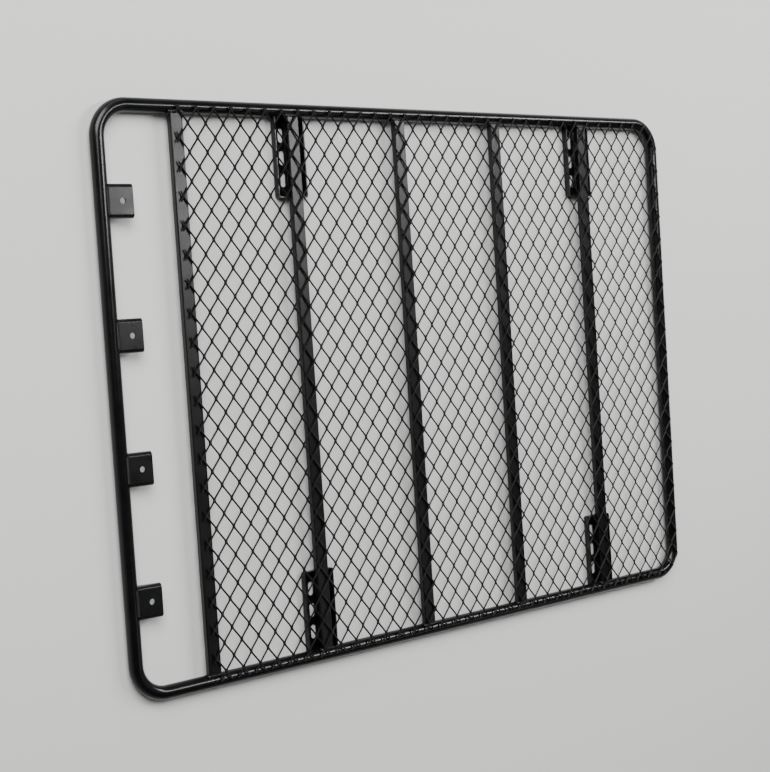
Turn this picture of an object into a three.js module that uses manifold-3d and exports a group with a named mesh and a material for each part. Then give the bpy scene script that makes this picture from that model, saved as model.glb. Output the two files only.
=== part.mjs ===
// Flat roof tray of welded steel: a bent tube rim, five flat crossbars, an expanded metal deck,
// four mounting channels under two of the crossbars, and four lamp tabs on the front rail.
// Millimetres, +Z up, +X to the rear of the vehicle, origin at the middle of the footprint.

import * as THREE from 'three';
import { mergeVertices } from 'three/addons/utils/BufferGeometryUtils.js';
import Module from 'manifold-3d';

const wasm = await Module();
wasm.setup();

// Rim tube: distances are between the tube's centre lines.
const rimLength = 1385;
const rimWidth = 1016;
const tubeDiameter = 25.4;
const tubeWall = 1.6;
const bendRadius = 57;
const bendSteps = 7;
const tubeSides = 20;

// Crossbars: rectangular tube laid flat, counted from the front rail's centre line.
const barCount = 5;
const firstBar = 149.5;
const secondBar = 395.5;
const barPitch = 252;
const barBreadth = 25.4;
const barDepth = 12.7;
const barWall = 1.6;
const barCorner = 2;

// Expanded metal deck, drawn with coarser openings and wider strands of the same weight.
const deckColumns = 17;
const deckRows = 10;
const strandWidth = 5.4;
const deckThickness = 2.5;
const strandStub = 6;

// Mounting channels.
const channelBars = [1, 4];
const channelBreadth = 66;
const channelReach = 160;
const channelPlate = 3;
const channelCorner = 5;
const slotWidth = 12;
const slotLength = 27;
const slotRow = 12.5;
const firstSlot = 43.5;
const slotPitch = 41;
const slotsInRow = 3;

// Lamp tabs.
const tabPitch = 229;
const tabCount = 4;
const tabBreadth = 59;
const tabReach = 54.5;
const tabRoot = 8.3;
const tabPlate = 3;
const tabBend = 7;
const tabRise = 0.5;
const flangeDepthRoot = 21;
const flangeDepthTip = 7;
const lampHoleReach = 34;
const lampHoleDiameter = 10.5;

// Welds and the clearance between touching pieces.
const gap = 0.3;
const seatGap = 0.4;
const tabWeldToe = 3.2;
const barWeldToe = 5.5;
const beadShoulder = 1.6;
const beadToe = 2;
const railWeldToe = 4;
const railWeldTop = 9.5;
const railWeldFoot = 11.5;
const flapWeldLeg = 4;
const buttWidth = 2.6;
const buttDepth = 1.6;

const tubeRadius = tubeDiameter / 2;
const rimHeight = channelPlate + seatGap + tubeRadius;
const barTop = rimHeight + tubeRadius;
const barBottom = barTop - barDepth;
const deckBottom = barTop + gap;
const frontRail = -rimLength / 2;
const sideRail = rimWidth / 2;
const copeRadius = tubeRadius + gap;
const curveSegments = 4;

const powderCoat = { roughness: 0.42, metalness: 0.1 };
const rimCoat = new THREE.MeshStandardMaterial({ color: 0x141517, ...powderCoat });
const barCoat = new THREE.MeshStandardMaterial({ color: 0x1b1c1e, ...powderCoat });
const deckCoat = new THREE.MeshStandardMaterial({ color: 0x202123, ...powderCoat });
const channelCoat = new THREE.MeshStandardMaterial({ color: 0x101113, ...powderCoat });
const tabCoat = new THREE.MeshStandardMaterial({ color: 0x242527, ...powderCoat });
const weldCoat = new THREE.MeshStandardMaterial({ color: 0x2c2d30, roughness: 0.5, metalness: 0.1 });

const tray = new THREE.Group();

// Axes for an extrusion: where the outline's own x and y point; its depth runs along the third.
const alongX = [new THREE.Vector3(0, 1, 0), new THREE.Vector3(0, 0, 1), new THREE.Vector3(1, 0, 0)];
const alongY = [new THREE.Vector3(-1, 0, 0), new THREE.Vector3(0, 0, 1), new THREE.Vector3(0, 1, 0)];
const alongZ = [new THREE.Vector3(1, 0, 0), new THREE.Vector3(0, 1, 0), new THREE.Vector3(0, 0, 1)];

// A prism centred on the origin along its depth.
function prism(outline, length, axes, segments = curveSegments) {
  const geometry = new THREE.ExtrudeGeometry(outline, {
    depth: length,
    bevelEnabled: false,
    curveSegments: segments,
  });
  geometry.translate(0, 0, -length / 2);
  return geometry.applyMatrix4(new THREE.Matrix4().makeBasis(...axes));
}

function toSolid(geometry) {
  const bare = geometry.clone();
  bare.deleteAttribute('normal');
  bare.deleteAttribute('uv');
  const merged = mergeVertices(bare, 1e-4);
  return new wasm.Manifold(new wasm.Mesh({
    numProp: 3,
    vertProperties: new Float32Array(merged.attributes.position.array),
    triVerts: new Uint32Array(merged.index.array),
  }));
}

function toGeometry(solid) {
  const mesh = solid.getMesh();
  const geometry = new THREE.BufferGeometry();
  geometry.setAttribute('position', new THREE.BufferAttribute(mesh.vertProperties, 3));
  geometry.setIndex(new THREE.BufferAttribute(mesh.triVerts, 1));
  geometry.computeVertexNormals();
  return geometry;
}

function addPiece(name, geometry, material, x = 0, y = 0, z = 0) {
  const mesh = new THREE.Mesh(geometry, material);
  mesh.name = name;
  mesh.position.set(x, y, z);
  tray.add(mesh);
  return mesh;
}

function roundedRectangle(path, width, height, radius) {
  const x = width / 2 - radius;
  const y = height / 2 - radius;
  path.absarc(x, y, radius, 0, Math.PI / 2, false);
  path.absarc(-x, y, radius, Math.PI / 2, Math.PI, false);
  path.absarc(-x, -y, radius, Math.PI, 1.5 * Math.PI, false);
  path.absarc(x, -y, radius, 1.5 * Math.PI, 2 * Math.PI, false);
  path.closePath();
  return path;
}

// Outline of a weld bead between the tube's skin and a plate edge. It starts on the tube at
// one distance from the centre line, ends at the other, and is crowned up to the given height.
function beadOutline(inner, outer, crown, side) {
  const steps = 4;
  const shape = new THREE.Shape();
  for (let i = 0; i <= steps; i += 1) {
    const reach = inner + (outer - inner) * (i / steps);
    const height = Math.sqrt(copeRadius ** 2 - reach ** 2);
    if (i === 0) {
      shape.moveTo(side * reach, height);
    } else {
      shape.lineTo(side * reach, height);
    }
  }
  shape.lineTo(side * outer, crown - gap);
  shape.lineTo(side * (outer - beadShoulder), crown);
  shape.lineTo(side * (inner + beadToe), crown - gap);
  shape.closePath();
  return shape;
}

// A tube's route with straight runs in one step and each bend in a few.
class BentRoute extends THREE.Curve {
  constructor(corners, radius, steps) {
    super();
    this.stations = [{ point: corners[0], tangent: corners[1].clone().sub(corners[0]).normalize() }];
    for (let i = 1; i < corners.length - 1; i += 1) {
      const before = corners[i].clone().sub(corners[i - 1]).normalize();
      const after = corners[i + 1].clone().sub(corners[i]).normalize();
      const centre = corners[i].clone().addScaledVector(before, -radius).addScaledVector(after, radius);
      for (let k = 0; k <= steps; k += 1) {
        const angle = (k / steps) * (Math.PI / 2);
        const tangent = before.clone().multiplyScalar(Math.cos(angle));
        tangent.addScaledVector(after, Math.sin(angle));
        const point = centre.clone().addScaledVector(after, -radius * Math.cos(angle));
        point.addScaledVector(before, radius * Math.sin(angle));
        this.stations.push({ point, tangent });
      }
    }
    const last = corners.length - 1;
    const end = corners[last].clone().sub(corners[last - 1]).normalize();
    this.stations.push({ point: corners[last], tangent: end });
  }

  station(t) {
    return this.stations[Math.round(t * (this.stations.length - 1))];
  }

  getPoint(t, target = new THREE.Vector3()) {
    return target.copy(this.station(t).point);
  }

  getPointAt(t, target) {
    return this.getPoint(t, target);
  }

  getTangentAt(t, target = new THREE.Vector3()) {
    return target.copy(this.station(t).tangent);
  }
}

// Rim: two bent halves, butt welded at the middle of each side rail.
function rimHalf(direction) {
  const seam = (direction * buttWidth) / 2 + direction * gap;
  const end = (direction * rimLength) / 2;
  const route = new BentRoute([
    new THREE.Vector3(seam, -sideRail, 0),
    new THREE.Vector3(end, -sideRail, 0),
    new THREE.Vector3(end, sideRail, 0),
    new THREE.Vector3(seam, sideRail, 0),
  ], bendRadius, bendSteps);
  const section = new THREE.Shape().absarc(0, 0, tubeRadius, 0, 2 * Math.PI, false);
  section.holes.push(new THREE.Path().absarc(0, 0, tubeRadius - tubeWall, 0, 2 * Math.PI, true));
  return new THREE.ExtrudeGeometry(section, {
    steps: route.stations.length - 1,
    bevelEnabled: false,
    curveSegments: tubeSides / 2,
    extrudePath: route,
  });
}

function buttWeld() {
  const ring = new THREE.Shape().absarc(0, 0, tubeRadius, 0, 2 * Math.PI, false);
  ring.holes.push(new THREE.Path().absarc(0, 0, tubeRadius - buttDepth, 0, 2 * Math.PI, true));
  return prism(ring, buttWidth, alongX, tubeSides / 2);
}

addPiece('rim_front_half', rimHalf(-1), rimCoat, 0, 0, rimHeight);
addPiece('rim_rear_half', rimHalf(1), rimCoat, 0, 0, rimHeight);
addPiece('rim_butt_weld_left', buttWeld(), weldCoat, 0, sideRail, rimHeight);
addPiece('rim_butt_weld_right', buttWeld(), weldCoat, 0, -sideRail, rimHeight);

// Crossbars: cut square at the side rails' flanks; a weld fills the groove above the tube.
function crossbar() {
  const section = roundedRectangle(new THREE.Shape(), barBreadth, barDepth, barCorner);
  const bore = roundedRectangle(
    new THREE.Path(), barBreadth - 2 * barWall, barDepth - 2 * barWall, barCorner / 2);
  section.holes.push(bore);
  return prism(section, rimWidth - 2 * copeRadius, alongY, 3);
}

function barWeld(side) {
  const outline = beadOutline(barWeldToe, tubeRadius, tubeRadius, -side);
  return prism(outline, barBreadth - 2 * barCorner, alongX);
}

function barPlace(i) {
  return frontRail + (i === 0 ? firstBar : secondBar + (i - 1) * barPitch);
}

for (let i = 0; i < barCount; i += 1) {
  const x = barPlace(i);
  addPiece(`crossbar_${i + 1}`, crossbar(), barCoat, x, 0, (barTop + barBottom) / 2);
  addPiece(`crossbar_weld_${i + 1}_left`, barWeld(1), weldCoat, x, sideRail, rimHeight);
  addPiece(`crossbar_weld_${i + 1}_right`, barWeld(-1), weldCoat, x, -sideRail, rimHeight);
}

// Deck: one flat sheet of diamond openings, trimmed to the rim's centre line.
function deckOutline() {
  const x0 = barPlace(0) - strandStub;
  const x1 = -frontRail;
  const shape = new THREE.Shape();
  shape.moveTo(x0, -sideRail);
  shape.lineTo(x1 - bendRadius, -sideRail);
  shape.absarc(x1 - bendRadius, -sideRail + bendRadius, bendRadius, -Math.PI / 2, 0, false);
  shape.absarc(x1 - bendRadius, sideRail - bendRadius, bendRadius, 0, Math.PI / 2, false);
  shape.lineTo(x0, sideRail);
  shape.closePath();
  return shape;
}

function deck() {
  const pitchX = (rimLength - firstBar) / deckColumns;
  const pitchY = rimWidth / deckRows;
  const margin = strandWidth / 2;
  const x0 = barPlace(0);
  const reachX = pitchX / 2 - (margin * Math.hypot(pitchX, pitchY)) / pitchY;
  const reachY = (reachX * pitchY) / pitchX;
  const cutters = [];
  for (let column = 0; column <= 2 * deckColumns; column += 1) {
    for (let row = column % 2 === 0 ? 1 : 0; row <= 2 * deckRows; row += 2) {
      const x = x0 + (column * pitchX) / 2;
      const y = -sideRail + (row * pitchY) / 2;
      const opening = new THREE.Shape();
      opening.moveTo(x + reachX, y);
      opening.lineTo(x, y + reachY);
      opening.lineTo(x - reachX, y);
      opening.lineTo(x, y - reachY);
      opening.closePath();
      cutters.push(opening);
    }
  }
  const blank = toSolid(prism(deckOutline(), deckThickness, alongZ, 3));
  const openings = toSolid(prism(cutters, deckThickness * 2, alongZ));
  return toGeometry(blank.subtract(openings));
}

addPiece('deck_mesh', deck(), deckCoat, 0, 0, deckBottom + deckThickness / 2);

// Mounting channels: open upwards, slotted in two rows, closed by a flap at the inner end, and
// notched to the underside of the side rail.
function railCutter(side) {
  const round = new THREE.Shape().absarc(0, 0, copeRadius, 0, 2 * Math.PI, false);
  const cutter = prism(round, channelBreadth * 2, alongX, tubeSides / 2);
  return toSolid(cutter.translate(0, side * sideRail, rimHeight));
}

function channelSection(isOpen) {
  const half = channelBreadth / 2;
  const top = barBottom - gap;
  const inside = channelCorner - channelPlate;
  const shape = new THREE.Shape();
  shape.moveTo(half, top);
  if (isOpen) {
    shape.lineTo(half - channelPlate, top);
    shape.absarc(half - channelCorner, channelCorner, inside, 0, -Math.PI / 2, true);
    shape.absarc(channelCorner - half, channelCorner, inside, -Math.PI / 2, -Math.PI, true);
    shape.lineTo(channelPlate - half, top);
  }
  shape.lineTo(-half, top);
  shape.absarc(channelCorner - half, channelCorner, channelCorner, Math.PI, 1.5 * Math.PI, false);
  shape.absarc(half - channelCorner, channelCorner, channelCorner, -Math.PI / 2, 0, false);
  shape.closePath();
  return shape;
}

function slotShape(x, y) {
  const radius = slotWidth / 2;
  const straight = slotLength / 2 - radius;
  const slot = new THREE.Shape();
  slot.absarc(x, y + straight, radius, 0, Math.PI, false);
  slot.absarc(x, y - straight, radius, Math.PI, 2 * Math.PI, false);
  slot.closePath();
  return slot;
}

function mountingChannel(side) {
  const middle = side * (sideRail - channelReach / 2);
  const inner = side * (sideRail - channelReach + channelPlate / 2);
  const trough = toSolid(prism(channelSection(true), channelReach, alongY, 3).translate(0, middle, 0));
  const flap = toSolid(prism(channelSection(false), channelPlate, alongY, 3).translate(0, inner, 0));
  const slots = [];
  for (let i = 0; i < slotsInRow; i += 1) {
    const y = side * (sideRail - firstSlot - i * slotPitch);
    slots.push(slotShape(slotRow, y), slotShape(-slotRow, y));
  }
  const cutter = toSolid(prism(slots, channelPlate * 4, alongZ, 3));
  return toGeometry(trough.add(flap).subtract(cutter).subtract(railCutter(side)));
}

// Bead in the groove between the rail's underside and the channel's web.
function channelRailWeld(side) {
  const steps = 3;
  const web = channelPlate + gap - rimHeight;
  const shape = new THREE.Shape();
  shape.moveTo(-side * railWeldToe, web);
  for (let i = 0; i <= steps; i += 1) {
    const reach = railWeldToe + (railWeldTop - railWeldToe) * (i / steps);
    shape.lineTo(-side * reach, -Math.sqrt(copeRadius ** 2 - reach ** 2));
  }
  shape.lineTo(-side * railWeldFoot, web);
  shape.closePath();
  return prism(shape, channelBreadth - 2 * (channelCorner + 1), alongX);
}

// Fillet bead between the flap and the crossbar's underside.
function flapWeld(side) {
  const throat = flapWeldLeg * Math.SQRT1_2;
  const shape = new THREE.Shape();
  shape.moveTo(-side * gap, -gap);
  shape.lineTo(-side * flapWeldLeg, -gap);
  shape.lineTo(-side * throat, -throat);
  shape.lineTo(-side * gap, -flapWeldLeg);
  shape.closePath();
  return prism(shape, barBreadth - 2 * barCorner, alongX);
}

channelBars.forEach((bar, i) => {
  const place = i === 0 ? 'front' : 'rear';
  const x = barPlace(bar);
  [['left', 1], ['right', -1]].forEach(([hand, side]) => {
    const name = `${place}_${hand}`;
    const flapFace = side * (sideRail - channelReach);
    addPiece(`mounting_channel_${name}`, mountingChannel(side), channelCoat, x);
    addPiece(`channel_rail_weld_${name}`, channelRailWeld(side), weldCoat, x, side * sideRail, rimHeight);
    addPiece(`channel_flap_weld_${name}`, flapWeld(side), weldCoat, x, flapFace, barBottom);
  });
});

// Lamp tabs: a plate with both edges folded down; the folds taper towards the free end.
function tabSection() {
  const half = tabBreadth / 2;
  const inside = tabBend - tabPlate;
  const low = -flangeDepthRoot;
  const shape = new THREE.Shape();
  shape.moveTo(half, low);
  shape.absarc(half - tabBend, -tabBend, tabBend, 0, Math.PI / 2, false);
  shape.absarc(tabBend - half, -tabBend, tabBend, Math.PI / 2, Math.PI, false);
  shape.lineTo(-half, low);
  shape.lineTo(tabPlate - half, low);
  shape.absarc(tabBend - half, -tabBend, inside, Math.PI, Math.PI / 2, true);
  shape.absarc(half - tabBend, -tabBend, inside, Math.PI / 2, 0, true);
  shape.lineTo(half - tabPlate, low);
  shape.closePath();
  return shape;
}

function lampTab() {
  const top = tubeRadius + tabRise;
  const length = tabReach - tabRoot;
  const blank = toSolid(prism(tabSection(), length, alongX, 3).translate(tabRoot + length / 2, 0, top));
  const below = top - flangeDepthRoot - tabPlate;
  const taper = new THREE.Shape();
  taper.moveTo(-tabRoot + 1, below);
  taper.lineTo(-tabReach - 1, below);
  taper.lineTo(-tabReach - 1, top - flangeDepthTip);
  taper.lineTo(-tubeRadius - tabPlate, top - flangeDepthRoot + 1);
  taper.lineTo(-tabRoot + 1, top - flangeDepthRoot + 1);
  taper.closePath();
  const wedge = toSolid(prism(taper, tabBreadth * 2, alongY));
  const round = new THREE.Shape().absarc(0, 0, copeRadius, 0, 2 * Math.PI, false);
  const tube = toSolid(prism(round, tabBreadth * 2, alongY, tubeSides / 2));
  const hole = new THREE.Shape().absarc(lampHoleReach, 0, lampHoleDiameter / 2, 0, 2 * Math.PI, false);
  const drill = toSolid(prism(hole, tubeDiameter * 2, alongZ, 8));
  return toGeometry(blank.subtract(wedge).subtract(tube).subtract(drill));
}

function tabWeld() {
  const outline = beadOutline(tabWeldToe, tabRoot - gap, tubeRadius + tabRise, -1);
  return prism(outline, tabBreadth - 2 * tabBend, alongY);
}

for (let i = 0; i < tabCount; i += 1) {
  const y = (i - (tabCount - 1) / 2) * tabPitch;
  addPiece(`lamp_tab_${i + 1}`, lampTab(), tabCoat, frontRail, y, rimHeight);
  addPiece(`lamp_tab_weld_${i + 1}`, tabWeld(), weldCoat, frontRail, y, rimHeight);
}

export default tray;
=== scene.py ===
import bmesh
import bpy
import math
from mathutils import Matrix, Vector


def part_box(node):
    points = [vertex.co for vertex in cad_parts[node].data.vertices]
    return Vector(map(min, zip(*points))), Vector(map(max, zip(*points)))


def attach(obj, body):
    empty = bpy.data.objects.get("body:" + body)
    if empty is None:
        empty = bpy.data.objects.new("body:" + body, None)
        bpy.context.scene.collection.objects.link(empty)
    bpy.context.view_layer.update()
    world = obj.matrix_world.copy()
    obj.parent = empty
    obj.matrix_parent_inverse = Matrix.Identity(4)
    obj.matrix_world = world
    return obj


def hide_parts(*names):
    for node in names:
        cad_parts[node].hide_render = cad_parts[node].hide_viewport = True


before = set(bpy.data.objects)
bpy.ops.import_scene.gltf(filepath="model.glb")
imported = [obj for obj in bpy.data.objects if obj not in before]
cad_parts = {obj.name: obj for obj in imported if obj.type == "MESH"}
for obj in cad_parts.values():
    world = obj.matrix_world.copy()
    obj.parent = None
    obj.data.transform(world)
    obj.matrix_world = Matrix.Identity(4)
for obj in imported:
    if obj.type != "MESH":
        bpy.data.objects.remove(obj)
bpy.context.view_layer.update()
scene = bpy.context.scene
mm = 0.001
mergeGap = 0.02 * mm  # points of a piece nearer than this become one
left, right = 1, -1  # side rails, towards +Y and -Y

rimLow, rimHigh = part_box("rim_front_half")
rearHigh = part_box("rim_rear_half")[1]
tubeRadius = (rimHigh.z - rimLow.z) / 2
rimHeight = (rimHigh.z + rimLow.z) / 2
frontRail = rimLow.x + tubeRadius
rearRail = rearHigh.x - tubeRadius
sideRail = rimHigh.y - tubeRadius
barBoxes = [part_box(f"crossbar_{i}") for i in range(1, 6)]
barCentres = [(low.x + high.x) / 2 for low, high in barBoxes]
barTop = barBoxes[0][1].z
barBottom = barBoxes[0][0].z
barHalf = (barBoxes[0][1].x - barBoxes[0][0].x) / 2


def toLinear(hexColour):
    parts = [int(hexColour[i:i + 2], 16) / 255 for i in (1, 3, 5)]
    linear = [c / 12.92 if c <= 0.04045 else ((c + 0.055) / 1.055) ** 2.4 for c in parts]
    return linear + [1.0]


def addNode(tree, kind, settings=None, links=None):
    node = tree.nodes.new(kind)
    for name, value in (settings or {}).items():
        if name == "stops":
            for element, (position, colour) in zip(node.color_ramp.elements, value):
                element.position = position
                element.color = colour
        elif hasattr(node, name):
            setattr(node, name, value)
        else:
            node.inputs[name].default_value = value
    for name, source in (links or {}).items():
        tree.links.new(source, node.inputs[name])
    return node


# Polyester powder coat, sprayed and baked on steel: deep black with a soft gloss, a faint
# orange peel, and a duller, slightly greyer bloom in patches with a few specks. The peel is about
# 1 mm and is drawn at 3 mm to show.
coat = {
    "colour": "#080809",
    "bloomColour": "#111214",
    "bloomSpan": (0.36, 0.95),  # of the pattern's tone, from plain colour to full bloom
    "bloomSize": 45 * mm,
    "bloomGrain": {"Detail": 5.0, "Roughness": 0.6},
    "speckSize": 2 * mm,
    "speckGrain": {"Detail": 1.0},
    "speckSpan": (0.66, 0.74),
    "speckShare": 0.25,
    "roughness": 0.22,
    "roughnessSpread": 0.03,
    "roughnessSpan": (0.3, 0.7),
    "ior": 1.5,
    "specular": 0.28,
    "peelSize": 3 * mm,
    "peelGrain": {"Detail": 2.0, "Roughness": 0.45},
    "peelDepth": 0.05 * mm,
    "peelStrength": 0.35,
}


def powderCoat(name, look):
    material = bpy.data.materials.new(name)
    material.use_nodes = True
    tree = material.node_tree
    tree.nodes.clear()
    place = addNode(tree, "ShaderNodeTexCoord").outputs["Object"]
    noise = {}
    for pattern in ("peel", "bloom", "speck"):
        grain = {"Scale": 1 / look[pattern + "Size"], **look[pattern + "Grain"]}
        noise[pattern] = addNode(tree, "ShaderNodeTexNoise", grain, {"Vector": place}).outputs["Fac"]
    low, high = look["speckSpan"]
    specks = addNode(tree, "ShaderNodeMapRange",
                     {"From Min": low, "From Max": high, "To Max": look["speckShare"]},
                     {"Value": noise["speck"]})
    tone = addNode(tree, "ShaderNodeMath", {"operation": "ADD"})
    tree.links.new(noise["bloom"], tone.inputs[0])
    tree.links.new(specks.outputs["Result"], tone.inputs[1])
    low, high = look["bloomSpan"]
    stops = [(low, toLinear(look["colour"])), (high, toLinear(look["bloomColour"]))]
    colour = addNode(tree, "ShaderNodeValToRGB", {"stops": stops}, {"Fac": tone.outputs["Value"]})
    low, high = look["roughnessSpan"]
    rough = addNode(tree, "ShaderNodeMapRange",
                    {"From Min": low, "From Max": high,
                     "To Min": look["roughness"] - look["roughnessSpread"],
                     "To Max": look["roughness"] + look["roughnessSpread"]},
                    {"Value": noise["bloom"]})
    bump = addNode(tree, "ShaderNodeBump",
                   {"Strength": look["peelStrength"], "Distance": look["peelDepth"]},
                   {"Height": noise["peel"]})
    shader = addNode(tree, "ShaderNodeBsdfPrincipled",
                     {"IOR": look["ior"], "Specular IOR Level": look["specular"]},
                     {"Base Color": colour.outputs["Color"], "Roughness": rough.outputs["Result"],
                      "Normal": bump.outputs["Normal"]})
    addNode(tree, "ShaderNodeOutputMaterial", links={"Surface": shader.outputs["BSDF"]})
    return material


# The same coat on each kind of steel, as that steel's surface makes it come out.
tubeCoat = powderCoat("glossBlackPowderCoatOnBentTube", coat)
barCoat = powderCoat("satinBlackPowderCoatOnBar", {**coat, "roughness": 0.31, "peelStrength": 0.5})
meshCoat = powderCoat("blackPowderCoatOnExpandedSteel",
                      {**coat, "roughness": 0.46, "peelStrength": 0.2})
plateCoat = powderCoat("satinBlackPowderCoatOnPressedPlate",
                       {**coat, "roughness": 0.29, "bloomSize": 20 * mm})
weldCoat = powderCoat("blackPowderCoatOverWeldBead",
                      {**coat, "roughness": 0.3, "peelSize": 1.5 * mm})
print("finishes ready")


def keepMesh(name, bm, material, replaced, sharpAngle=40, evenFlats=False):
    bmesh.ops.remove_doubles(bm, verts=bm.verts[:], dist=mergeGap)
    bmesh.ops.recalc_face_normals(bm, faces=bm.faces[:])
    mesh = bpy.data.meshes.new(name)
    bm.to_mesh(mesh)
    bm.free()
    mesh.materials.append(material)
    mesh.shade_smooth()
    mesh.set_sharp_from_angle(angle=math.radians(sharpAngle))
    piece = bpy.data.objects.new(name, mesh)
    scene.collection.objects.link(piece)
    if evenFlats:
        even = piece.modifiers.new("evenFlats", "WEIGHTED_NORMAL")
        even.keep_sharp = True
    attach(piece, "root")
    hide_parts(*replaced)
    return piece


def pick(made, kind):
    return [g for g in made["geom"] if isinstance(g, kind)]


# Pulls faces out of the surface they are in; the edges are given so that no wall is left inside.
def pull(bm, faces):
    edges = {edge for face in faces for edge in face.edges}
    return bmesh.ops.extrude_face_region(bm, geom=faces + list(edges))


def draw(bm, face, steps):
    for step in steps:
        face = pick(pull(bm, [face]), bmesh.types.BMFace)[0]
        bmesh.ops.transform(bm, matrix=step, verts=face.verts[:])


def roundSection(bm, place, sides):
    made = bmesh.ops.create_circle(bm, cap_ends=True, radius=1, segments=sides, matrix=place)
    return made["verts"][0].link_faces[0]


rim = {"bend": 57 * mm, "bendSteps": 20, "sides": 48}


def rimHalf(direction):
    bm = bmesh.new()
    across = Matrix.Rotation(math.pi / 2, 4, "Y") @ Matrix.Scale(tubeRadius, 4)
    start = Matrix.Translation((0, -sideRail, rimHeight))
    face = roundSection(bm, start @ across, rim["sides"])
    end = rearRail if direction > 0 else frontRail
    straight = Matrix.Translation((end - direction * rim["bend"], 0, 0))
    back = Matrix.Translation((direction * rim["bend"] - end, 0, 0))
    railRun = Matrix.Translation((0, 2 * (sideRail - rim["bend"]), 0))
    steps = [straight]
    for side in (right, left):
        centre = Matrix.Translation((end - direction * rim["bend"], side * (sideRail - rim["bend"]),
                                     rimHeight))
        turn = Matrix.Rotation(direction * math.pi / 2 / rim["bendSteps"], 4, "Z")
        steps += [centre @ turn @ centre.inverted()] * rim["bendSteps"]
        steps.append(railRun if side == right else back)
    draw(bm, face, steps)
    return bm


keepMesh("rimFront", rimHalf(-1), tubeCoat, ["rim_front_half"])
keepMesh("rimRear", rimHalf(1), tubeCoat, ["rim_rear_half"])
print("rim bent")

buttSeam = {"breadth": 2.4 * mm, "proud": 0.12 * mm, "depth": 0.6 * mm, "sides": 12, "steps": 48}


def buttBead(side):
    bm = bmesh.new()
    centre = Vector((0, side * sideRail, rimHeight))
    deep = tubeRadius + buttSeam["proud"] - buttSeam["depth"]
    place = Matrix.Translation(centre + Vector((0, deep, 0)))
    flat = Matrix.Diagonal((buttSeam["breadth"], buttSeam["depth"], 1, 1))
    made = bmesh.ops.create_circle(bm, radius=1, segments=buttSeam["sides"], matrix=place @ flat)
    ring = list({edge for vert in made["verts"] for edge in vert.link_edges})
    bmesh.ops.spin(bm, geom=ring + made["verts"], cent=centre, axis=(1, 0, 0), angle=2 * math.pi,
                   steps=buttSeam["steps"], use_merge=True)
    return bm


keepMesh("rimSeamLeft", buttBead(left), tubeCoat, ["rim_butt_weld_left"])
keepMesh("rimSeamRight", buttBead(right), tubeCoat, ["rim_butt_weld_right"])

bar = {"corner": 2.2 * mm, "cornerSteps": 5}


def boxTube(low, high):
    bm = bmesh.new()
    size = high - low
    middle = Matrix.Translation((low + high) / 2)
    bmesh.ops.create_cube(bm, size=1, matrix=middle @ Matrix.Diagonal((*size, 1)))
    long = [e for e in bm.edges if abs(e.verts[0].co.y - e.verts[1].co.y) > size.y / 2]
    bmesh.ops.bevel(bm, geom=long, offset=bar["corner"], segments=bar["cornerSteps"],
                    affect="EDGES", profile=0.5, material=-1)
    return bm


for i, (low, high) in enumerate(barBoxes, 1):
    keepMesh(f"crossbar{i}", boxTube(low, high), barCoat, [f"crossbar_{i}"],
             sharpAngle=60, evenFlats=True)
print("crossbars set")

# Weld bead laid by hand: a row of overlapping puddles about 1.8 mm apart.
ripple = {"pitch": 1.8 * mm, "steps": (0.0, 0.75, 1.0, 0.6), "depth": 0.13, "sides": 14}


def layBead(bm, points, radii, squash=1.0):
    runs = list(zip(points, points[1:], radii, radii[1:]))
    places = []
    count = 0
    for start, end, r0, r1 in runs:
        steps = max(2, round((end - start).length / ripple["pitch"] * len(ripple["steps"])))
        for k in range(steps):
            t = k / steps
            swell = 1 + ripple["depth"] * (ripple["steps"][count % len(ripple["steps"])] - 0.5)
            places.append((start.lerp(end, t), (r0 + (r1 - r0) * t) * swell))
            count += 1
    places.append((points[-1], radii[-1]))
    matrices = []
    for k, (point, radius) in enumerate(places):
        ahead = places[min(k + 1, len(places) - 1)][0] - places[max(k - 1, 0)][0]
        aim = ahead.to_track_quat("Z", "Y").to_matrix().to_4x4()
        girth = Matrix.Diagonal((radius, radius * squash, radius, 1))
        matrices.append(Matrix.Translation(point) @ aim @ girth)
    face = roundSection(bm, matrices[0], ripple["sides"])
    draw(bm, face, [b @ a.inverted() for a, b in zip(matrices, matrices[1:])])


# The bead runs up one side of a crossbar's end, along the top and down the other side.
barBead = {
    "reach": 9.2 * mm,  # from the rail's centre line to the bead's middle on top
    "drop": 3.2 * mm,  # bead's middle below the bar's top
    "radius": 4.6 * mm,
    "squash": 0.8,
    "cornerIn": 1 * mm,  # of the top run's ends, in from the bar's sides
    "cornerReach": 1.4 * mm,
    "shoulder": 2 * mm,
    "sideRadius": 2.2 * mm,
    "sideSwell": 1.15,
    "sideProud": 0.3 * mm,
    "sideGap": 0.4 * mm,  # from the rail to the side runs' middle
    "footRise": 1.5 * mm,
}


def barWeld(x, side):
    bm = bmesh.new()
    flank = side * (sideRail - tubeRadius - barBead["sideGap"])
    middle = side * (sideRail - barBead["reach"] - barBead["cornerReach"])
    low = barBottom + barBead["footRise"]
    top = barTop - barBead["drop"]
    out = barHalf + barBead["sideProud"]
    corner = barHalf - barBead["cornerIn"]
    points = []
    for end in (-1, 1):
        climb = [(x + end * out, flank, low), (x + end * out, flank, top - barBead["shoulder"]),
                 (x + end * corner, middle, top)]
        points += climb if end < 0 else climb[::-1]
    small = barBead["sideRadius"]
    swollen = small * barBead["sideSwell"]
    big = barBead["radius"]
    layBead(bm, [Vector(p) for p in points], [small, swollen, big, big, swollen, small],
            barBead["squash"])
    return bm


straightBead = {"taper": 0.04, "tip": 0.4}  # shares of a bead's length and radius at its ends


def straightWeld(start, end, radius):
    bm = bmesh.new()
    span = Vector(end) - Vector(start)
    taper = straightBead["taper"]
    points = [Vector(start) + span * t for t in (0, taper, 1 - taper, 1)]
    tip = radius * straightBead["tip"]
    layBead(bm, points, [tip, radius, radius, tip])
    return bm


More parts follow.
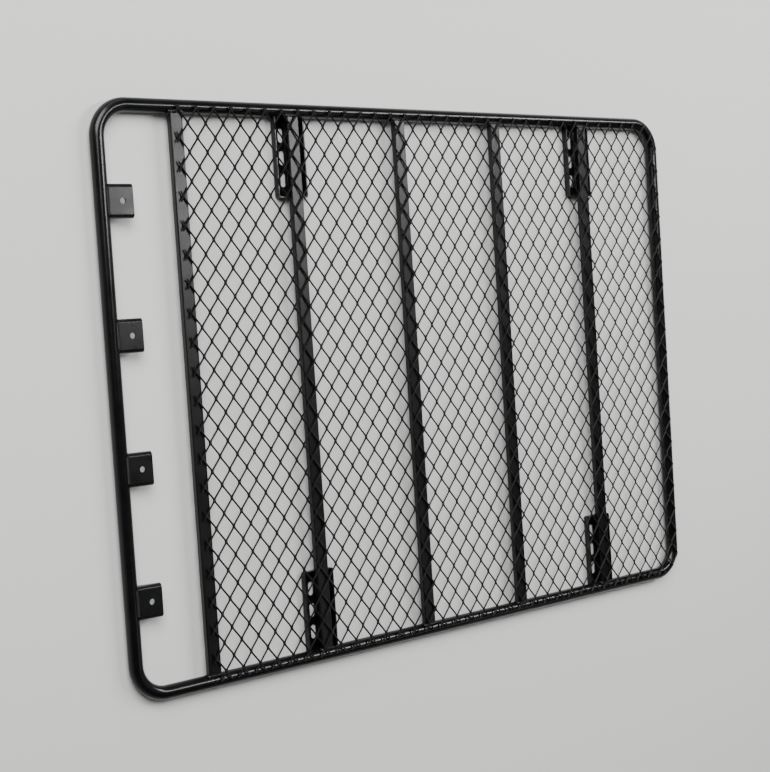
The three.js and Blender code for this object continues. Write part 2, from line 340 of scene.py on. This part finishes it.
for i, x in enumerate(barCentres, 1):
    for hand, side in (("left", left), ("right", right)):
        keepMesh(f"barWeld{i}{hand}", barWeld(x, side), weldCoat,
                 [f"crossbar_weld_{i}_{hand}"], sharpAngle=180)
print("crossbars welded")

# Raised expanded steel, slit and stretched: the strands stand on edge, leaning to the front, and
# the knuckles where two strands meet are twice as wide.
deck = {
    "columns": 34,
    "rows": 20,
    "rowPitch": 51.05 * mm,
    "topRow": 4.5 * mm,  # of the last row of knuckles inside the left rail's centre line
    "firstColumn": 2 * mm,  # of the first column of knuckles behind the first crossbar's middle
    "strand": 3.3 * mm,
    "thickness": 2.9 * mm,
    "knuckle": 2.4 * mm,
    "tilt": 146,  # degrees of a strand's breadth from the rear, upwards
    "strandRun": ((0.12, 0.08), (0.76, 0.84), (0.12, 0.08)),  # shares along Y and X, eased at the ends
    "stub": 5.5 * mm,
    "seat": 0.15 * mm,
    "joinGap": 0.01 * mm,
    "cutSlack": 0.001 * mm,
    "cornerCuts": 7,
}


def expandedDeck():
    bm = bmesh.new()
    x0 = barCentres[0] + deck["firstColumn"]
    y0 = sideRail - deck["topRow"] - deck["rows"] * deck["rowPitch"]
    stepX = (rearRail - x0) / deck["columns"] / 2
    stepY = deck["rowPitch"] / 2
    tilt = math.radians(deck["tilt"])
    s, b = deck["strand"], deck["knuckle"]
    rise = s * math.sin(tilt) + deck["thickness"] / 2 * abs(math.cos(tilt))
    z = barTop + deck["seat"] + rise
    upright = Matrix.Rotation(-tilt, 4, "Y") @ Matrix.Rotation(math.pi / 2, 4, "X")
    oblong = Matrix.Diagonal((s, deck["thickness"] / 2, 1, 1))
    bmesh.ops.create_grid(bm, x_segments=2, y_segments=1, size=1,
                          matrix=Matrix.Translation((0, -b / 2, 0)) @ upright @ oblong)
    section = bm.faces[:]
    made = pull(bm, section)
    ends = pick(made, bmesh.types.BMFace)
    bmesh.ops.translate(bm, vec=(0, b, 0), verts=pick(made, bmesh.types.BMVert))
    breadth = s * Vector((math.cos(tilt), 0, math.sin(tilt)))
    spread = Vector((stepX, 0, 0)) - math.copysign(1, breadth.x) * breadth
    for end in ends:
        way = 1 if end.calc_center_median().x > 0 else -1
        for along, sideways in deck["strandRun"]:
            end = pick(pull(bm, [end]), bmesh.types.BMFace)[0]
            step = way * sideways * spread + Vector((0, along * (stepY - b), 0))
            bmesh.ops.translate(bm, vec=step, verts=end.verts[:])
        section.append(end)
    # The ends are opened, because each one joins the next knuckle.
    bmesh.ops.delete(bm, geom=section, context="FACES_ONLY")
    cell = bm.verts[:] + bm.edges[:] + bm.faces[:]
    first = bm.verts[:]
    for row in range(-1, deck["rows"] + 1):
        made = bmesh.ops.duplicate(bm, geom=cell)
        bmesh.ops.translate(bm, vec=(x0, y0 + 2 * row * stepY, z),
                            verts=pick(made, bmesh.types.BMVert))
    bmesh.ops.delete(bm, geom=first, context="VERTS")
    strip = bm.verts[:] + bm.edges[:] + bm.faces[:]
    for column in range(-1, 2 * deck["columns"] + 2):
        if column == 0:
            continue
        made = bmesh.ops.duplicate(bm, geom=strip)
        bmesh.ops.translate(bm, vec=(column * stepX, column % 2 * stepY, 0),
                            verts=pick(made, bmesh.types.BMVert))
    bmesh.ops.remove_doubles(bm, verts=bm.verts[:], dist=deck["joinGap"])
    cuts = [((x0 - deck["stub"], 0), (-1, 0)), ((0, sideRail), (0, 1)), ((0, -sideRail), (0, -1))]
    for side in (left, right):
        for k in range(deck["cornerCuts"]):
            angle = math.pi / 2 * k / deck["cornerCuts"]
            normal = Vector((math.cos(angle), side * math.sin(angle)))
            centre = Vector((rearRail - rim["bend"], side * (sideRail - rim["bend"])))
            cuts.append((centre + normal * rim["bend"], normal))
    for point, normal in cuts:
        point, normal = Vector((*point, 0)), Vector((*normal, 0))
        bmesh.ops.bisect_plane(bm, geom=bm.verts[:] + bm.edges[:] + bm.faces[:], dist=deck["cutSlack"],
                               plane_co=point, plane_no=normal, clear_outer=True)
        cutEdges = [e for e in bm.edges if e.is_boundary
                    and all(abs((v.co - point).dot(normal)) < deck["joinGap"] for v in e.verts)]
        bmesh.ops.holes_fill(bm, edges=cutEdges, sides=0)
    return bm


deckPiece = keepMesh("expandedDeck", expandedDeck(), meshCoat, ["deck_mesh"])
print("deck stretched", len(deckPiece.data.polygons))

plateEdge = {"sharperThan": 50, "steps": 2}


# Breaks a plate's edges, cuts shapes out of it, and gives back the finished mesh's bmesh.
def machine(bm, cutters, edgeBreak):
    bmesh.ops.recalc_face_normals(bm, faces=bm.faces[:])
    sharp = [e for e in bm.edges if e.calc_face_angle() > math.radians(plateEdge["sharperThan"])]
    bmesh.ops.bevel(bm, geom=sharp, offset=edgeBreak, segments=plateEdge["steps"], affect="EDGES",
                    profile=0.5, material=-1)
    holders = []
    for made in (bm, cutters):
        mesh = bpy.data.meshes.new("blank")
        bmesh.ops.recalc_face_normals(made, faces=made.faces[:])
        made.to_mesh(mesh)
        made.free()
        holders.append(bpy.data.objects.new("blank", mesh))
        scene.collection.objects.link(holders[-1])
    blank, cutter = holders
    cut = blank.modifiers.new("cut", "BOOLEAN")
    cut.operation = "DIFFERENCE"
    cut.solver = "EXACT"
    cut.object = cutter
    bpy.context.view_layer.update()
    evaluated = blank.evaluated_get(bpy.context.evaluated_depsgraph_get())
    finished = bpy.data.meshes.new_from_object(evaluated)
    result = bmesh.new()
    result.from_mesh(finished)
    for holder in holders:
        bpy.data.objects.remove(holder)
    bpy.data.meshes.remove(finished)
    return result


def addCylinder(bm, centre, radius, length, axis, sides):
    turn = {"X": Matrix.Rotation(math.pi / 2, 4, "Y"), "Y": Matrix.Rotation(math.pi / 2, 4, "X"),
            "Z": Matrix.Identity(4)}[axis]
    made = bmesh.ops.create_cone(bm, cap_ends=True, radius1=radius, radius2=radius, depth=length,
                                 segments=sides, matrix=Matrix.Translation(centre) @ turn)
    return made["verts"]


channel = {
    "plate": 3 * mm,
    "bend": 5 * mm,
    "slotWidth": 12 * mm,
    "slotLength": 27 * mm,
    "slotRow": 12.5 * mm,
    "firstSlot": 43.5 * mm,
    "slotPitch": 41 * mm,
    "slotsInRow": 3,
    "railClearance": 0.15 * mm,
    "edgeBreak": 0.4 * mm,
    "bendSteps": 5,
}
channelBead = {
    "radius": 2.6 * mm,
    "endInset": 6 * mm,
    "rise": 1.2 * mm,  # above the web's inner face
    "reach": 7.5 * mm,  # from the rail's centre line
    "flapRadius": 2.4 * mm,
    "flapInset": 1 * mm,
}


def mountingChannel(low, high, side):
    bm = bmesh.new()
    size = high - low
    centre = (low + high) / 2
    inner = low.y if side == left else high.y
    bmesh.ops.create_grid(bm, x_segments=1, y_segments=1, size=0.5,
                          matrix=Matrix.Translation((centre.x, centre.y, low.z))
                          @ Matrix.Diagonal((size.x, size.y, 1, 1)))
    folds = [e for e in bm.edges if abs(sum(v.co.y for v in e.verts) / 2 - inner) < mm
             or abs(e.verts[0].co.y - e.verts[1].co.y) > mm]
    made = bmesh.ops.extrude_edge_only(bm, edges=folds)
    bmesh.ops.translate(bm, vec=(0, 0, size.z), verts=pick(made, bmesh.types.BMVert))
    corners = [e for e in bm.edges if len(e.link_faces) == 2]
    bmesh.ops.bevel(bm, geom=corners, offset=channel["bend"], segments=channel["bendSteps"],
                    affect="EDGES", profile=0.5, material=-1)
    bmesh.ops.recalc_face_normals(bm, faces=bm.faces[:])
    web = max(bm.faces, key=lambda f: f.calc_area())
    if web.normal.z > 0:
        bmesh.ops.reverse_faces(bm, faces=bm.faces[:])
    bmesh.ops.solidify(bm, geom=bm.faces[:], thickness=channel["plate"])
    cutters = bmesh.new()
    addCylinder(cutters, (centre.x, side * sideRail, rimHeight),
                tubeRadius + channel["railClearance"], 3 * size.x, "X", 96)
    straight = (channel["slotLength"] - channel["slotWidth"]) / 2
    for i in range(channel["slotsInRow"]):
        y = side * (sideRail - channel["firstSlot"] - i * channel["slotPitch"])
        for row in (-channel["slotRow"], channel["slotRow"]):
            slot = addCylinder(cutters, (centre.x + row, y, low.z), channel["slotWidth"] / 2,
                               4 * channel["plate"], "Z", 32)
            for vert in slot:
                vert.co.y += math.copysign(straight, vert.co.y - y + 1e-6)
    return machine(bm, cutters, channel["edgeBreak"])


for end in ("front", "rear"):
    for hand, side in (("left", left), ("right", right)):
        node = f"mounting_channel_{end}_{hand}"
        corner = end.title() + hand.title()
        low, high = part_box(node)
        keepMesh("channel" + corner, mountingChannel(low, high, side), plateCoat,
                 [node], sharpAngle=50, evenFlats=True)
        x = (low.x + high.x) / 2
        half = (high.x - low.x) / 2 - channelBead["endInset"]
        y = side * (sideRail - channelBead["reach"])
        z = low.z + channel["plate"] + channelBead["rise"]
        keepMesh("railWeld" + corner,
                 straightWeld((x - half, y, z), (x + half, y, z), channelBead["radius"]), weldCoat,
                 [f"channel_rail_weld_{end}_{hand}"], sharpAngle=180)
        half = barHalf - channelBead["flapInset"]
        y = (low.y if side == left else high.y) - side * channelBead["flapInset"]
        z = barBottom - channelBead["flapInset"]
        keepMesh("flapWeld" + corner,
                 straightWeld((x - half, y, z), (x + half, y, z), channelBead["flapRadius"]), weldCoat,
                 [f"channel_flap_weld_{end}_{hand}"], sharpAngle=180)
print("channels folded and slotted")

tab = {
    "plate": 3 * mm,
    "bend": 7 * mm,
    "bendShare": 0.98,  # keeps the bend clear of the flange's lower edge
    "bendSteps": 8,
    "flangeTip": 8.6 * mm,
    "holeReach": 34 * mm,
    "holeRadius": 5.25 * mm,
    "edgeBreak": 0.6 * mm,
    "weldReach": 6.4 * mm,
    "weldRadius": 3.3 * mm,
    "weldSink": 1.8 * mm,
    "weldInset": 1 * mm,  # of the bead's ends, out from the bends
}


def lampTab(low, high):
    bm = bmesh.new()
    size = high - low
    centre = (low + high) / 2
    bmesh.ops.create_grid(bm, x_segments=1, y_segments=1, size=0.5,
                          matrix=Matrix.Translation((centre.x, centre.y, high.z))
                          @ Matrix.Diagonal((size.x, size.y, 1, 1)))
    folds = [e for e in bm.edges if abs(e.verts[0].co.x - e.verts[1].co.x) > mm]
    made = bmesh.ops.extrude_edge_only(bm, edges=folds)
    lower = pick(made, bmesh.types.BMVert)
    bmesh.ops.translate(bm, vec=(0, 0, -size.z), verts=lower)
    tips = [v for v in lower if v.co.x > centre.x]
    bmesh.ops.translate(bm, vec=(0, 0, size.z - tab["flangeTip"]), verts=tips)
    corners = [e for e in bm.edges if len(e.link_faces) == 2]
    bmesh.ops.bevel(bm, geom=corners, offset=tab["bend"] * tab["bendShare"],
                    segments=tab["bendSteps"], affect="EDGES", profile=0.5, material=-1)
    bmesh.ops.recalc_face_normals(bm, faces=bm.faces[:])
    plate = max(bm.faces, key=lambda f: f.calc_area())
    if plate.normal.z < 0:
        bmesh.ops.reverse_faces(bm, faces=bm.faces[:])
    bmesh.ops.solidify(bm, geom=bm.faces[:], thickness=tab["plate"])
    cutters = bmesh.new()
    addCylinder(cutters, (frontRail, centre.y, rimHeight), tubeRadius + channel["railClearance"],
                3 * size.y, "Y", 96)
    addCylinder(cutters, (frontRail + tab["holeReach"], centre.y, high.z), tab["holeRadius"],
                4 * tab["plate"], "Z", 40)
    return machine(bm, cutters, tab["edgeBreak"])


for i in range(1, 5):
    low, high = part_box(f"lamp_tab_{i}")
    keepMesh(f"lampTab{i}", lampTab(low, high), plateCoat, [f"lamp_tab_{i}"],
             sharpAngle=50, evenFlats=True)
    x = frontRail + tab["weldReach"]
    z = high.z - tab["weldSink"]
    inset = tab["bend"] - tab["weldInset"]
    keepMesh(f"tabWeld{i}",
             straightWeld((x, low.y + inset, z), (x, high.y - inset, z), tab["weldRadius"]), weldCoat,
             [f"lamp_tab_weld_{i}"], sharpAngle=180)
print("tabs folded, drilled and welded")

stage = {
    "radius": 7,
    "sides": 96,
    "wall": 3.4,
    "fillet": 1.2,
    "filletSteps": 8,
    "below": 0.2 * mm,  # under the channels' undersides, so that no two faces share a plane
    "floorColour": "#d8d8d6",
    "floorRoughness": 0.75,
}


def makeStage():
    bm = bmesh.new()
    bmesh.ops.create_circle(bm, cap_ends=True, radius=stage["radius"], segments=stage["sides"],
                            matrix=Matrix.Translation((0, 0, -stage["below"])))
    border = bm.edges[:]
    made = bmesh.ops.extrude_edge_only(bm, edges=border)
    bmesh.ops.translate(bm, vec=(0, 0, stage["wall"]), verts=pick(made, bmesh.types.BMVert))
    bmesh.ops.bevel(bm, geom=border, offset=stage["fillet"], segments=stage["filletSteps"],
                    affect="EDGES", profile=0.5, material=-1)
    mesh = bpy.data.meshes.new("studioFloor")
    bm.to_mesh(mesh)
    bm.free()
    mesh.shade_smooth()
    # Seamless studio paper: even, without shine.
    material = bpy.data.materials.new("paleMattPaper")
    material.use_nodes = True
    shader = material.node_tree.nodes["Principled BSDF"]
    shader.inputs["Base Color"].default_value = toLinear(stage["floorColour"])
    shader.inputs["Roughness"].default_value = stage["floorRoughness"]
    mesh.materials.append(material)
    floor = bpy.data.objects.new("studioFloor", mesh)
    scene.collection.objects.link(floor)


makeStage()

# Sizes are breadth and length; the power is in watts.
lights = {
    "fill": {"place": (-2.2, 2.9, 3.9), "size": (3.4, 3.4), "power": 420},
    "key": {"place": (2.0, 1.05, 2.7), "size": (0.34, 2.6), "power": 100},
    "low": {"place": (2.0, -1.35, 2.7), "size": (0.2, 1.9), "power": 3.5},
    "edge": {"place": (-0.5, 3.2, 1.3), "size": (2.4, 0.4), "power": 10},
}
for name, lit in lights.items():
    lamp = bpy.data.lights.new(name, "AREA")
    lamp.shape = "RECTANGLE"
    lamp.size, lamp.size_y = lit["size"]
    lamp.energy = lit["power"]
    holder = bpy.data.objects.new(name, lamp)
    scene.collection.objects.link(holder)
    place = Vector(lit["place"])
    aim = (-place).to_track_quat("-Z", "Y").to_matrix().to_4x4()
    holder.matrix_world = Matrix.Translation(place) @ aim

air = {"colour": "#e8e8e8", "strength": 0.06}
world = bpy.data.worlds.new("studioAir")
scene.world = world
world.use_nodes = True
background = world.node_tree.nodes["Background"]
background.inputs["Color"].default_value = toLinear(air["colour"])
background.inputs["Strength"].default_value = air["strength"]
print("studio lit")

cameraSet = {
    "target": (-0.1121, -0.0172, 0.0161),
    "distance": 2.8389,
    "heading": 175.0166,  # degrees from +X towards +Y, seen from the target
    "elevation": 51.8987,
    "roll": 90.2447,
    "lens": 68.122,
    "sensor": 36,
}


def makeCamera():
    camera = bpy.data.objects.new("camera", bpy.data.cameras.new("camera"))
    scene.collection.objects.link(camera)
    heading = math.radians(cameraSet["heading"])
    elevation = math.radians(cameraSet["elevation"])
    out = Vector((math.cos(heading) * math.cos(elevation), math.sin(heading) * math.cos(elevation),
                  math.sin(elevation)))
    place = Matrix.Translation(Vector(cameraSet["target"]) + out * cameraSet["distance"])
    aim = (-out).to_track_quat("-Z", "Y").to_matrix().to_4x4()
    turn = Matrix.Rotation(math.radians(cameraSet["roll"]), 4, "Z")
    camera.matrix_world = place @ aim @ turn
    camera.data.lens = cameraSet["lens"]
    camera.data.sensor_width = cameraSet["sensor"]
    scene.camera = camera


makeCamera()
print("camera placed")
